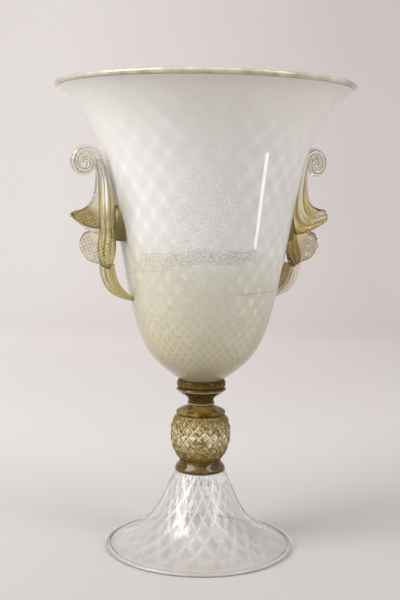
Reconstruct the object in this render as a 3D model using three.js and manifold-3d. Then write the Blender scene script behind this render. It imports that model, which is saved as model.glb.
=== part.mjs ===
// Two-handled glass floor vase: campana bowl, pineapple knop and trumpet foot.
// Millimetres, +Z up. The origin is where the vase's axis meets the floor.
import * as THREE from 'three';
import { mergeVertices } from 'three/addons/utils/BufferGeometryUtils.js';
import Module from 'manifold-3d';

const wasm = await Module();
wasm.setup();

// Heights of the stacked gathers, from the floor up
const footHeight = 100;
const footCollarHeight = 15.2;
const knopHeight = 59.5;
const shoulderHeight = 12.4;
const waistRingHeight = 4;
const neckHeight = 13.4;
const discHeight = 5;
const bowlCollarHeight = 10.1;
const bowlHeight = 370.7;

// Radii of the foot and the stem
const footRimRadius = 125.6;
const footRimWidth = 8.4;
const footRimThickness = 5;
const footEdgeHeight = 3.6;
const footTopRadius = 32.4;
const footWall = 5;
const footCrown = 12;
const footCrownDip = 1.5;
const footEdgeDrop = 2.4;
const footEdgeEasing = 2;
const rimEasing = 1;
const rimEdgeDrop = 0.7;
const footCollarTopRadius = 27;
const footCollarRadius = 33;
const knopRadius = 37.4;
const knopBottomRadius = 26.6;
const knopTopRadius = 31.6;
const shoulderRadius = 32.2;
const waistRadius = 16.6;
const waistThreadSwell = 1.2;
const collarEasing = 0.4;
const neckTopRadius = 29.5;
const discRadius = 32.6;
const bowlCollarRadius = 32;

// Bowl
const bowlSeatRadius = 29;
const bowlHipRadius = 103.4;
const bowlHipRise = 153;
const bowlLipRadius = 186.7;
const flareLowReach = 16;
const flareHighReach = 17;
const bowlWall = 4.5;
const bowlBottomThickness = 9;
const bowlFloorEasing = 6;
const bowlFloorRise = 1;
const lipThreadRadius = 3.5;

// Diamond bosses of the knop, and the level of its widest ring as a share of its height
const knopBellyShare = 0.58;
const bossesAround = 16;
const bossRows = 3.5;
const bossRelief = 2.6;

// Handles, in the upright plane through the vase's axis. "Out" runs from the bowl's wall at
// the grip, "up" and "drop" from the grip's level, which lies gripRise above the bowl's hip.
const gripRise = 39;
const scrollOut = 45.4;
const scrollUp = 84;
const scrollOuterRadius = 26;
const scrollPitch = 13.6;
const strapDepth = 12.8;
const strapTipDepth = 4.6;
const strapWidth = 15;
const stalkOut = 7.4;
const stalkFootUp = 35;
const leafOut = 65.4;
const leafUp = 20;
const leafDrop = 4;
const leafTipDepth = 4.6;
const leafEndRounding = 2.5;
const leftLeafTopSwell = 0.6;
const leftLeafUnderSwell = 1;
const rightLeafTopSwell = 2.7;
const rightLeafUnderSwell = 5.2;
const leafWidth = 16;
const leafEdgeWidth = 5;
const sheathOut = 5.8;
const sheathDrop = 47;
const sheathWidth = 20;
const huskRootWidth = 14;
const lowerLeafOut = 52.3;
const lowerLeafDrop = 18;
const lowerLeafTipDepth = 6;
const tailInset = 18;
const tailOut = 17.9;
const tailTopDepth = 20;
const tailTopWidth = 11;
const tailWidth = 15;
const tailDrop = 86.5;
const tailTipDepth = 4.5;
const tailTipWidth = 8;
const rightTailSpread = 10;
const bridgeHalfWidth = 19;
const bridgeUp = 33;
const bridgeDrop = 12;
const bridgeOut = 10.4;
const bridgeCorner = 5;
const bridgeBevel = 4;
const wallBurial = 13;
const rightScrollLift = 5;

// Proportions of the handles: turns, shares of a size, and how far a leaf's thickness leans to its spine
const scrollTurns = 1.5;
const scrollLeavingTurn = 0.042;
const rightScrollSqueeze = 0.82;
const scrollTipWidthShare = 0.7;
const ribDepth = 0.24;
const leafLean = 0.5;
const huskRootLean = 0.3;
const huskLean = 0.6;

// Shapes of the leaves' edges: shares along and down from one end of the edge to the other
const leafTopShape = [[-0.02, 0.343], [0.037, 0.62], [0.21, 0.81], [0.503, 0.92], [0.783, 0.958]];
const leafUnderShape = [[0.01, 0.625], [0.19, 0], [0.586, 0.19]];
const stalkBend = [0.637, 0.487];
const huskTopShape = [[0.505, 0], [0.634, 0.01], [0.74, 0], [0.848, 0.02], [0.93, 0.085], [0.985, 0.2]];
const huskUnderShape = [[0.075, -0.13], [0, 0.21], [0.034, 0.68], [0.184, 1], [0.495, 0.87], [0.805, 0.735]];

// Clearances: pieces fused hot lie this far apart
const fusedSeam = 0.3;

// Fineness
const turnsAround = 40;
const stemTurns = 24;
const quarterSteps = 4;

// Levels of the stack
const footCollarBase = footHeight + fusedSeam;
const knopBase = footCollarBase + footCollarHeight + fusedSeam;
const shoulderBase = knopBase + knopHeight + fusedSeam;
const waistBase = shoulderBase + shoulderHeight + fusedSeam;
const neckBase = waistBase + waistRingHeight + fusedSeam;
const discBase = neckBase + neckHeight + fusedSeam;
const bowlCollarBase = discBase + discHeight + fusedSeam;
const bowlBase = bowlCollarBase + bowlCollarHeight + fusedSeam;
const bowlTop = bowlBase + bowlHeight;

function glass(color, roughness = 0.05, metalness = 0) {
  return new THREE.MeshStandardMaterial({ color, roughness, metalness });
}

const milkGlass = () => glass(0xd8d6cd, 0.08);
const mistGlass = () => glass(0xdfe0e2, 0.06);
const amberGlass = () => glass(0x5a4a22, 0.05);
const goldGlass = () => glass(0xa88f3f, 0.08);
const paleGoldGlass = () => glass(0xc9bd8c, 0.06);

// A point of a profile: reach from the axis and height
function at(reach, height) {
  return new THREE.Vector2(reach, height);
}

// A cubic curve through a profile plane
function curve(start, leave, arrive, end, steps) {
  return new THREE.CubicBezierCurve(start, leave, arrive, end).getPoints(steps);
}

// The profile turned round the vase's axis
function revolved(profile, segments) {
  const geometry = new THREE.LatheGeometry(profile, segments);
  geometry.rotateX(Math.PI / 2);
  return geometry;
}

// A closed skin over equal rings of points, with a fan at each end
function skinned(rings, leansLeft = () => false) {
  const count = rings[0].length;
  const positions = [];
  const index = [];
  for (const ring of rings) {
    for (const point of ring) {
      positions.push(point.x, point.y, point.z);
    }
  }
  for (let row = 0; row + 1 < rings.length; row++) {
    for (let column = 0; column < count; column++) {
      const next = (column + 1) % count;
      const a = row * count + column;
      const b = row * count + next;
      const c = (row + 1) * count + next;
      const d = (row + 1) * count + column;
      if (leansLeft(row, column)) {
        index.push(a, b, d, b, c, d);
      } else {
        index.push(a, b, c, a, c, d);
      }
    }
  }
  const ends = [[0, true], [rings.length - 1, false]];
  for (const [row, reversed] of ends) {
    const middle = new THREE.Vector3();
    rings[row].forEach((point) => middle.add(point));
    middle.divideScalar(count);
    const centre = positions.length / 3;
    positions.push(middle.x, middle.y, middle.z);
    for (let column = 0; column < count; column++) {
      const here = row * count + column;
      const next = row * count + (column + 1) % count;
      if (reversed) {
        index.push(centre, next, here);
      } else {
        index.push(centre, here, next);
      }
    }
  }
  const geometry = new THREE.BufferGeometry();
  geometry.setAttribute('position', new THREE.Float32BufferAttribute(positions, 3));
  geometry.setIndex(index);
  return geometry;
}

function toSolid(geometry) {
  const plain = geometry.clone();
  plain.deleteAttribute('normal');
  plain.deleteAttribute('uv');
  const merged = mergeVertices(plain, 1e-4);
  const vertProperties = new Float32Array(merged.attributes.position.array);
  const triVerts = new Uint32Array(merged.index.array);
  const mesh = new wasm.Mesh({ numProp: 3, vertProperties, triVerts });
  mesh.merge();
  return new wasm.Manifold(mesh);
}

function toGeometry(solid) {
  const mesh = solid.getMesh();
  const geometry = new THREE.BufferGeometry();
  geometry.setAttribute('position', new THREE.BufferAttribute(new Float32Array(mesh.vertProperties), 3));
  geometry.setIndex(new THREE.BufferAttribute(new Uint32Array(mesh.triVerts), 1));
  return geometry;
}

function without(geometry, cutters) {
  let solid = toSolid(geometry);
  for (const cutter of cutters) {
    solid = solid.subtract(toSolid(cutter));
  }
  return toGeometry(solid);
}

// Outer wall of the bowl from its seat to its lip, grown outwards by a clearance
function bowlOutside(growth = 0) {
  const seat = at(bowlSeatRadius + growth, bowlBase);
  const hip = at(bowlHipRadius + growth, bowlBase + bowlHipRise);
  const lip = at(bowlLipRadius + growth, bowlTop);
  const belly = bowlHipRadius - bowlSeatRadius;
  const under = curve(
    seat,
    at(seat.x + belly * 0.605, seat.y + bowlHipRise * 0.212),
    at(hip.x - belly * 0.28, hip.y - bowlHipRise * 0.73),
    hip,
    7,
  );
  const flare = bowlHeight - bowlHipRise;
  const over = curve(
    hip,
    at(hip.x + flareLowReach, hip.y + flare * 0.343),
    at(hip.x + flareHighReach, hip.y + flare * 0.794),
    lip,
    9,
  );
  return [...under, ...over.slice(1)];
}

// Wall points moved inwards, square to the wall
function offsetInwards(outside, wall) {
  return outside.map((point, i) => {
    const before = outside[Math.max(i - 1, 0)];
    const after = outside[Math.min(i + 1, outside.length - 1)];
    const along = after.clone().sub(before).normalize();
    return at(point.x - along.y * wall, point.y + along.x * wall);
  });
}

function makeBowl() {
  const outside = bowlOutside();
  const floorHeight = bowlBase + bowlBottomThickness;
  const inside = offsetInwards(outside, bowlWall)
    .filter((point) => point.y > floorHeight + bowlFloorEasing);
  const profile = [
    at(0, bowlBase),
    ...outside,
    ...inside.reverse(),
    at(bowlSeatRadius - bowlWall, floorHeight + bowlFloorRise),
    at(0, floorHeight),
  ];
  return revolved(profile, turnsAround);
}

// Direction of the wall where it ends at the lip
function lipDirection() {
  const outside = bowlOutside();
  const last = outside[outside.length - 1];
  return last.clone().sub(outside[outside.length - 2]).normalize();
}

// A thread laid on the edge of the lip, with one flat towards the wall's end
function makeLipThread() {
  const along = lipDirection();
  const wallEnd = bowlOutside().pop().add(at(-along.y, along.x).multiplyScalar(bowlWall / 2));
  const sides = 8;
  const flatDistance = lipThreadRadius * Math.cos(Math.PI / sides);
  const centre = wallEnd.add(along.clone().multiplyScalar(flatDistance + fusedSeam));
  const towardsWall = Math.atan2(-along.y, -along.x);
  const ring = [];
  for (let side = 0; side <= sides; side++) {
    const angle = towardsWall + (side + 0.5) * 2 * Math.PI / sides;
    ring.push(at(centre.x + lipThreadRadius * Math.cos(angle), centre.y + lipThreadRadius * Math.sin(angle)));
  }
  ring[sides].copy(ring[0]);
  return revolved(ring, turnsAround);
}

// Trumpet wall of the foot, from its top down to the folded edge
function footOutside() {
  const edgeRadius = footRimRadius - footRimWidth - fusedSeam;
  const spread = edgeRadius - footTopRadius;
  const drop = footHeight - footEdgeHeight;
  return curve(
    at(footTopRadius, footHeight),
    at(footTopRadius + spread * 0.283, footHeight - drop * 0.483),
    at(footTopRadius + spread * 0.262, footHeight - drop * 0.713),
    at(edgeRadius, footEdgeHeight),
    10,
  );
}

function makeFoot() {
  const outside = footOutside();
  const edge = outside[outside.length - 1];
  const edgeUnderside = footEdgeHeight - footEdgeDrop;
  const hollow = offsetInwards(outside, -footWall)
    .filter((point) => point.y > edgeUnderside + footEdgeEasing && point.y < footHeight - footCrown);
  const profile = [
    at(0, footHeight - footCrown),
    at(hollow[0].x * 0.6, footHeight - footCrown - footCrownDip),
    ...hollow,
    at(edge.x - footWall, edgeUnderside),
    at(edge.x, edgeUnderside),
    ...outside.reverse(),
    at(0, footHeight),
  ];
  return revolved(profile, turnsAround);
}

// The folded edge that the vase stands on
function makeFootRim() {
  const inner = footRimRadius - footRimWidth;
  const round = footRimThickness / 2;
  const profile = [
    at(inner, rimEdgeDrop),
    at(inner + rimEasing, 0),
    at(footRimRadius - round, 0),
    at(footRimRadius - round * 0.3, round * 0.4),
    at(footRimRadius, round),
    at(footRimRadius - round * 0.4, footRimThickness - round * 0.3),
    at(footRimRadius - round * 1.4, footRimThickness),
    at(inner + rimEasing, footRimThickness),
    at(inner, footRimThickness - rimEdgeDrop),
    at(inner, rimEdgeDrop),
  ];
  return revolved(profile, turnsAround);
}

// A low turned ring between two levels: radii are given from the bottom up as shares of its height
function makeCollar(base, height, stations) {
  const side = stations.map(([radius, share]) => at(radius, base + height * share));
  return revolved([at(0, base), ...side, at(0, base + height)], stemTurns);
}

function makeFootCollar() {
  return makeCollar(footCollarBase, footCollarHeight, [
    [footCollarRadius * 0.91, 0],
    [footCollarRadius - collarEasing, 0.08],
    [footCollarRadius, 0.2],
    [footCollarRadius * 0.973, 0.4],
    [footCollarTopRadius * 1.043, 0.75],
    [footCollarTopRadius, 1],
  ]);
}

// A drum that draws in over a hollow cone to the waist
function makeKnopShoulder() {
  return makeCollar(shoulderBase, shoulderHeight, [
    [shoulderRadius * 0.93, 0],
    [shoulderRadius * 0.985, 0.1],
    [shoulderRadius, 0.22],
    [shoulderRadius * 0.985, 0.34],
    [shoulderRadius * 0.925, 0.46],
    [waistRadius * 1.5, 0.65],
    [waistRadius * 1.2, 0.8],
    [waistRadius * 1.04, 0.92],
    [waistRadius, 1],
  ]);
}

// Two thin threads wound round the waist
function makeWaistRing() {
  return makeCollar(waistBase, waistRingHeight, [
    [waistRadius, 0],
    [waistRadius + waistThreadSwell, 0.14],
    [waistRadius + waistThreadSwell, 0.36],
    [waistRadius * 0.98, 0.5],
    [waistRadius + waistThreadSwell * 0.7, 0.66],
    [waistRadius + waistThreadSwell * 0.7, 0.86],
    [waistRadius * 0.99, 1],
  ]);
}

// A hollow funnel from the waist out to the disc
function makeNeck() {
  return makeCollar(neckBase, neckHeight, [
    [waistRadius, 0],
    [waistRadius * 1.01, 0.12],
    [waistRadius * 1.06, 0.3],
    [waistRadius * 1.26, 0.53],
    [waistRadius * 1.55, 0.77],
    [neckTopRadius * 0.965, 0.93],
    [neckTopRadius, 1],
  ]);
}

function makeDisc() {
  return makeCollar(discBase, discHeight, [
    [neckTopRadius * 1.014, 0],
    [discRadius * 0.99, 0.34],
    [discRadius, 0.55],
    [discRadius * 0.97, 0.85],
    [discRadius * 0.926, 1],
  ]);
}

function makeBowlCollar() {
  return makeCollar(bowlCollarBase, bowlCollarHeight, [
    [bowlCollarRadius * 0.93, 0],
    [bowlCollarRadius - collarEasing, 0.16],
    [bowlCollarRadius, 0.45],
    [bowlCollarRadius * 0.978, 0.8],
    [bowlSeatRadius * 1.02, 1],
  ]);
}

// The knop: an egg-shaped barrel of four-sided bosses whose grooves cross in a diamond lattice
function makeKnop() {
  const columns = bossesAround * quarterSteps;
  const rows = Math.round(bossRows * quarterSteps);
  const below = knopHeight * knopBellyShare;
  const belly = knopBase + below;
  const bottomAngle = Math.acos(knopBottomRadius / knopRadius);
  const topAngle = Math.acos(knopTopRadius / knopRadius);
  const lowStretch = below / Math.sin(bottomAngle);
  const highStretch = (knopHeight - below) / Math.sin(topAngle);
  const rings = [];
  for (let row = 0; row <= rows; row++) {
    const latitude = THREE.MathUtils.lerp(-bottomAngle, topAngle, row / rows);
    const stretch = latitude < 0 ? lowStretch : highStretch;
    const fade = Math.min(1, row, rows - row);
    const ring = [];
    for (let column = 0; column < columns; column++) {
      const around = column / quarterSteps;
      const up = row / quarterSteps;
      const nearest = Math.min(distanceToGroove(around + up), distanceToGroove(around - up));
      const relief = bossRelief * Math.pow(2 * nearest, 0.8) * fade;
      const radius = knopRadius * Math.cos(latitude) + relief * Math.cos(latitude);
      const angle = 2 * Math.PI * column / columns;
      const height = belly + stretch * Math.sin(latitude);
      ring.push(new THREE.Vector3(radius * Math.cos(angle), radius * Math.sin(angle), height));
    }
    rings.push(ring);
  }
  return skinned(rings, (row, column) => (row + column) % 2 === 1);
}

// 0 on a groove, 0.5 midway between two grooves
function distanceToGroove(position) {
  const share = position - Math.floor(position);
  return Math.min(share, 1 - share);
}

// Where a section of a handle's strap has its ribs and its two grooves, across its depth
const ribStations = [-1, -0.86, -0.6, -0.33, 0, 0.33, 0.6, 0.86, 1];
const grooveStations = [-0.33, 0.33];

// Half the thickness of a section: an ellipse whose bulk leans to its inner edge
function halfThickness(station, width, lean) {
  const round = Math.sqrt(1 - station * station) * (1 + lean * station) / (1 + 0.27 * lean);
  const groove = grooveStations.includes(station) ? 1 - ribDepth : 1;
  return 0.5 * width * round * groove;
}

// One ribbed section between two edge points
function ribbedSection(outer, inner, width, lean) {
  const middle = outer.clone().add(inner).multiplyScalar(0.5);
  const half = inner.clone().sub(outer).multiplyScalar(0.5);
  const place = (station, side) => new THREE.Vector3(
    middle.x + half.x * station,
    side * halfThickness(station, width, lean),
    middle.y + half.y * station,
  );
  const front = ribStations.map((station) => place(station, 1));
  const back = ribStations.slice(1, -1).reverse().map((station) => place(station, -1));
  return [...front, ...back];
}

// A ribbed strap lofted between two edge curves, its sections given from one end to the other
function loftedStrap(sections, growth = 0) {
  const rings = sections.map(({ outer, inner, width, lean }) => {
    const across = inner.clone().sub(outer).normalize().multiplyScalar(growth);
    const grownOuter = outer.clone().sub(across);
    const grownInner = inner.clone().add(across);
    return ribbedSection(grownOuter, grownInner, width + 2 * growth, lean);
  });
  return skinned(rings.reverse());
}

// Sections between two edge curves, with a width and a lean that follow formulas
function sectionsBetween(outer, inner, steps, widthAt, leanAt) {
  const sections = [];
  for (let step = 0; step <= steps; step++) {
    const share = step / steps;
    sections.push({
      outer: outer.getPoint(share),
      inner: inner.getPoint(share),
      width: widthAt(share),
      lean: leanAt(share),
    });
  }
  return sections;
}

// The bowl's outer radius at a height
function wallReachAt(height) {
  const outside = bowlOutside();
  const above = outside.findIndex((point) => point.y >= height);
  const low = outside[above - 1];
  const high = outside[above];
  return THREE.MathUtils.mapLinear(height, low.y, high.y, low.x, high.x);
}

const gripLevel = bowlBase + bowlHipRise + gripRise;
const gripReach = wallReachAt(gripLevel);

// A point given outwards and upwards from the grip
function fromGrip(out, up) {
  return at(gripReach + out, gripLevel + up);
}

// A point at shares of the way from one point to another, along and down
function between(start, end, [along, down]) {
  return at(THREE.MathUtils.lerp(start.x, end.x, along), THREE.MathUtils.lerp(start.y, end.y, down));
}

// A point of the scroll's spiral, at an angle from the side that faces the bowl
function onSpiral(angle, radius, lift, squeeze) {
  const eye = fromGrip(scrollOut, scrollUp + lift);
  return at(eye.x - squeeze * radius * Math.cos(angle), eye.y + radius * Math.sin(angle));
}

// The scroll, from its eye outwards and over the top down to the stalk
function scrollSections(lift, squeeze) {
  const sections = [];
  const steps = 24;
  for (let step = 0; step <= steps; step++) {
    const turn = THREE.MathUtils.lerp(scrollTurns, scrollLeavingTurn, step / steps);
    const angle = 2 * Math.PI * turn;
    const outerRadius = scrollOuterRadius - scrollPitch * turn;
    const thinning = THREE.MathUtils.smoothstep(turn / scrollTurns, 0.55, 1);
    const depth = THREE.MathUtils.lerp(strapDepth, strapTipDepth, thinning);
    const width = strapWidth * THREE.MathUtils.lerp(1, scrollTipWidthShare, thinning);
    sections.push({
      outer: onSpiral(angle, outerRadius - depth, lift, squeeze),
      inner: onSpiral(angle, outerRadius, lift, squeeze),
      width,
      lean: 0,
    });
  }
  return sections;
}

// Scroll, stalk and upper leaf, drawn from one gather
function scrollStrap({ lift, squeeze, topSwell, underSwell }, growth = 0) {
  const scroll = scrollSections(lift, squeeze);
  const { outer, inner } = scroll.pop();
  const tipTop = fromGrip(leafOut, leafUp + leafTipDepth / 2);
  const tipUnder = fromGrip(leafOut, leafUp - leafTipDepth / 2);
  const endOut = leafOut - leafEndRounding;
  const stalkFoot = fromGrip(stalkOut, stalkFootUp);
  const topEdge = new THREE.SplineCurve([
    outer,
    ...leafTopShape.map((share) => between(outer, tipTop, share)),
    fromGrip(endOut, leafUp + leafTipDepth / 2 + topSwell),
    tipTop,
  ]);
  const underEdge = new THREE.SplineCurve([
    inner,
    between(inner, stalkFoot, stalkBend),
    stalkFoot,
    ...leafUnderShape.map(([along, up]) => fromGrip(
      THREE.MathUtils.lerp(stalkOut, leafOut, along),
      THREE.MathUtils.lerp(-leafDrop, leafUp, up),
    )),
    fromGrip(endOut, leafUp - leafTipDepth / 2 - underSwell),
    tipUnder,
  ]);
  const widthAt = (share) => {
    const root = THREE.MathUtils.lerp(strapWidth, leafWidth, Math.min(share * 2, 1));
    const thinning = THREE.MathUtils.smoothstep(share, 0.5, 1);
    return THREE.MathUtils.lerp(root, leafEdgeWidth, thinning);
  };
  const leanAt = (share) => leafLean * THREE.MathUtils.smoothstep(share, 0.3, 0.7);
  const stalk = sectionsBetween(topEdge, underEdge, 13, widthAt, leanAt);
  return loftedStrap([...scroll, ...stalk], growth);
}

// A point of the lower husk, at shares of its reach and of its drop
function onHusk([along, down]) {
  return fromGrip(THREE.MathUtils.lerp(sheathOut, lowerLeafOut, along), -sheathDrop * down);
}

// Lower husk: the sheath below the stalk's foot and the lower leaf
function huskStrap(growth = 0) {
  const tipTop = fromGrip(lowerLeafOut, lowerLeafTipDepth / 2 - lowerLeafDrop);
  const tipUnder = fromGrip(lowerLeafOut, -lowerLeafTipDepth / 2 - lowerLeafDrop);
  const topEdge = new THREE.SplineCurve([...huskTopShape.map(onHusk), tipTop]);
  const underEdge = new THREE.SplineCurve([...huskUnderShape.map(onHusk), tipUnder]);
  const widthAt = (share) => {
    const swelling = THREE.MathUtils.smoothstep(share, 0, 0.3);
    const body = THREE.MathUtils.lerp(huskRootWidth, sheathWidth, swelling);
    return THREE.MathUtils.lerp(body, leafEdgeWidth, THREE.MathUtils.smoothstep(share, 0.5, 1));
  };
  const leanAt = (share) => THREE.MathUtils.lerp(huskRootLean, huskLean, share);
  return loftedStrap(sectionsBetween(topEdge, underEdge, 12, widthAt, leanAt), growth);
}

// Tail: runs from the sheath's foot down and in to the bowl's wall
function tailStrap({ tailSpread }, growth = 0) {
  const drop = tailDrop - sheathDrop + tailInset;
  const top = fromGrip(tailOut, tailInset - sheathDrop);
  const end = at(bowlHipRadius - wallBurial, top.y - drop);
  const run = top.x - end.x;
  const topEdge = new THREE.CubicBezierCurve(
    at(top.x + tailTopDepth / 2, top.y),
    at(top.x + tailTopDepth / 2, top.y - drop * 0.7),
    at(top.x - run * 0.08, end.y + drop * 0.035),
    at(end.x, end.y - tailTipDepth / 2),
  );
  const underEdge = new THREE.CubicBezierCurve(
    at(top.x - tailTopDepth / 2, top.y),
    at(top.x - tailTopDepth * 0.45 - tailSpread, top.y - drop * 0.56),
    at(top.x - tailTopDepth / 2 - run * 0.24 - tailSpread * 0.8, end.y + drop * 0.2),
    at(end.x, end.y + tailTipDepth / 2),
  );
  const widthAt = (share) => {
    const swelling = THREE.MathUtils.smoothstep(share, 0, 0.4);
    const body = THREE.MathUtils.lerp(tailTopWidth, tailWidth, swelling);
    return THREE.MathUtils.lerp(body, tailTipWidth, share * share);
  };
  return loftedStrap(sectionsBetween(topEdge, underEdge, 9, widthAt, () => 0), growth);
}

// Bridge: an arched pad between the bowl's wall and the husks
function bridgePad() {
  const outline = new THREE.Shape();
  const archSteps = 10;
  outline.moveTo(-bridgeHalfWidth, bridgeCorner - bridgeDrop);
  outline.lineTo(bridgeCorner - bridgeHalfWidth, -bridgeDrop);
  outline.lineTo(bridgeHalfWidth - bridgeCorner, -bridgeDrop);
  outline.lineTo(bridgeHalfWidth, bridgeCorner - bridgeDrop);
  for (let step = 0; step <= archSteps; step++) {
    const angle = Math.PI * step / archSteps;
    outline.lineTo(bridgeHalfWidth * Math.cos(angle), bridgeUp * Math.sin(angle));
  }
  const innerReach = gripReach - wallBurial;
  const geometry = new THREE.ExtrudeGeometry(outline, {
    depth: wallBurial + bridgeOut - bridgeBevel,
    bevelEnabled: true,
    bevelThickness: bridgeBevel,
    bevelSize: bridgeBevel,
    bevelOffset: -bridgeBevel,
    bevelSegments: 2,
  });
  geometry.rotateX(Math.PI / 2);
  geometry.rotateZ(Math.PI / 2);
  geometry.translate(innerReach, 0, gripLevel);
  return geometry;
}

// The bowl's outer wall as a solid, grown by the seam, that seats the handles
function bowlCutter() {
  const outside = bowlOutside(fusedSeam);
  const profile = [at(0, bowlBase), ...outside, at(0, bowlTop)];
  return revolved(profile, turnsAround);
}

function place(object, turn) {
  object.rotation.z = turn;
  return object;
}

function named(name, geometry, material) {
  const mesh = new THREE.Mesh(geometry, material);
  mesh.name = name;
  return mesh;
}

// One handle, built along +X and turned to its side
function makeHandle(side, turn, make) {
  const bowl = bowlCutter();
  const scrollSeat = scrollStrap(make, fusedSeam);
  const huskSeat = huskStrap(fusedSeam);
  const tailSeat = tailStrap(make, fusedSeam);
  const scroll = without(scrollStrap(make), [bowl]);
  const husk = without(huskStrap(), [scrollSeat, bowl]);
  const tail = without(tailStrap(make), [huskSeat, scrollSeat, bowl]);
  const bridge = without(bridgePad(), [bowl, huskSeat, scrollSeat, tailSeat]);
  const handle = new THREE.Group();
  handle.add(named(`${side}_scroll`, scroll, paleGoldGlass()));
  handle.add(named(`${side}_husk`, husk, goldGlass()));
  handle.add(named(`${side}_tail`, tail, paleGoldGlass()));
  handle.add(named(`${side}_bridge`, bridge, amberGlass()));
  return place(handle, turn);
}

// The handles are drawn by hand, so the right one differs a little from the left one
const leftMake = {
  lift: 0,
  squeeze: 1,
  topSwell: leftLeafTopSwell,
  underSwell: leftLeafUnderSwell,
  tailSpread: 0,
};
const rightMake = {
  lift: rightScrollLift,
  squeeze: rightScrollSqueeze,
  topSwell: rightLeafTopSwell,
  underSwell: rightLeafUnderSwell,
  tailSpread: rightTailSpread,
};

const vase = new THREE.Group();
vase.add(named('foot_rim', makeFootRim(), mistGlass()));
vase.add(named('foot', makeFoot(), mistGlass()));
vase.add(named('foot_collar', makeFootCollar(), amberGlass()));
vase.add(named('knop', makeKnop(), goldGlass()));
vase.add(named('knop_shoulder', makeKnopShoulder(), amberGlass()));
vase.add(named('waist_ring', makeWaistRing(), amberGlass()));
vase.add(named('stem_neck', makeNeck(), amberGlass()));
vase.add(named('merese_disc', makeDisc(), amberGlass()));
vase.add(named('bowl_collar', makeBowlCollar(), amberGlass()));
vase.add(named('bowl', makeBowl(), milkGlass()));
vase.add(named('lip_thread', makeLipThread(), goldGlass()));
vase.add(makeHandle('left', Math.PI, leftMake));
vase.add(makeHandle('right', 0, rightMake));

export default vase;
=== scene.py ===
# Looks of the two-handled glass vase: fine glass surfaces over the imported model, a pale studio and the camera.
from math import acos, cos, dist, floor, log, pi, radians, sin, sqrt, tau

import bpy
from mathutils import Matrix, Vector


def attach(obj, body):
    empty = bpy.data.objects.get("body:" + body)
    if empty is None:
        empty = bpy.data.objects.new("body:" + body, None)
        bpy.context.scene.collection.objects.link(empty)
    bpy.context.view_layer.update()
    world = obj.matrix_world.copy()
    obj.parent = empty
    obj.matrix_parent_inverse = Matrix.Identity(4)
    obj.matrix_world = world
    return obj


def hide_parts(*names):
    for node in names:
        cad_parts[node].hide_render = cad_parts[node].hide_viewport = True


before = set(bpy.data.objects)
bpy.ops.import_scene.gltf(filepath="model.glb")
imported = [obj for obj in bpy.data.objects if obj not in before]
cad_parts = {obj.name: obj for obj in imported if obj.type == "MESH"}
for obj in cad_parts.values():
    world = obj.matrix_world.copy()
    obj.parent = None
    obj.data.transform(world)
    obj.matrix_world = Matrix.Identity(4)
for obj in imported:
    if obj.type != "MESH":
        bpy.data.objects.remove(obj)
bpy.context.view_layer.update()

MM = 0.001

# Sizes in millimetres that repeat the model's own, apart from the fuller right leaf and deeper ribs
SEAM = 0.3
FOOT_HEIGHT = 100.0
FOOT_COLLAR_HEIGHT = 15.2
KNOP_HEIGHT = 59.5
SHOULDER_HEIGHT = 12.4
WAIST_HEIGHT = 4.0
NECK_HEIGHT = 13.4
DISC_HEIGHT = 5.0
BOWL_COLLAR_HEIGHT = 10.1
BOWL_HEIGHT = 370.7
FOOT_RIM_RADIUS = 125.6
FOOT_RIM_WIDTH = 8.4
FOOT_RIM_THICKNESS = 5.0
FOOT_EDGE_HEIGHT = 3.6
FOOT_TOP_RADIUS = 32.4
FOOT_WALL = 5.0
FOOT_CROWN = 12.0
FOOT_COLLAR_TOP_RADIUS = 27.0
FOOT_COLLAR_RADIUS = 33.0
KNOP_RADIUS = 37.4
KNOP_BOTTOM_RADIUS = 26.6
KNOP_TOP_RADIUS = 31.6
KNOP_BELLY_SHARE = 0.58
BOSS_RELIEF = 2.6
BOSSES_AROUND = 16
BOSS_ROWS = 3.5
SHOULDER_RADIUS = 32.2
WAIST_RADIUS = 16.6
WAIST_SWELL = 1.2
NECK_TOP_RADIUS = 29.5
DISC_RADIUS = 32.6
BOWL_COLLAR_RADIUS = 32.0
BOWL_SEAT_RADIUS = 29.0
BOWL_HIP_RADIUS = 103.4
BOWL_HIP_RISE = 153.0
BOWL_LIP_RADIUS = 186.7
BOWL_WALL = 4.5
BOWL_BOTTOM = 9.0
LIP_THREAD_RADIUS = 3.5
LIP_THREAD_INSET = 0.5

FOOT_COLLAR_BASE = FOOT_HEIGHT + SEAM
KNOP_BASE = FOOT_COLLAR_BASE + FOOT_COLLAR_HEIGHT + SEAM
SHOULDER_BASE = KNOP_BASE + KNOP_HEIGHT + SEAM
WAIST_BASE = SHOULDER_BASE + SHOULDER_HEIGHT + SEAM
NECK_BASE = WAIST_BASE + WAIST_HEIGHT + SEAM
DISC_BASE = NECK_BASE + NECK_HEIGHT + SEAM
BOWL_COLLAR_BASE = DISC_BASE + DISC_HEIGHT + SEAM
BOWL_BASE = BOWL_COLLAR_BASE + BOWL_COLLAR_HEIGHT + SEAM
BOWL_TOP = BOWL_BASE + BOWL_HEIGHT

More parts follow.
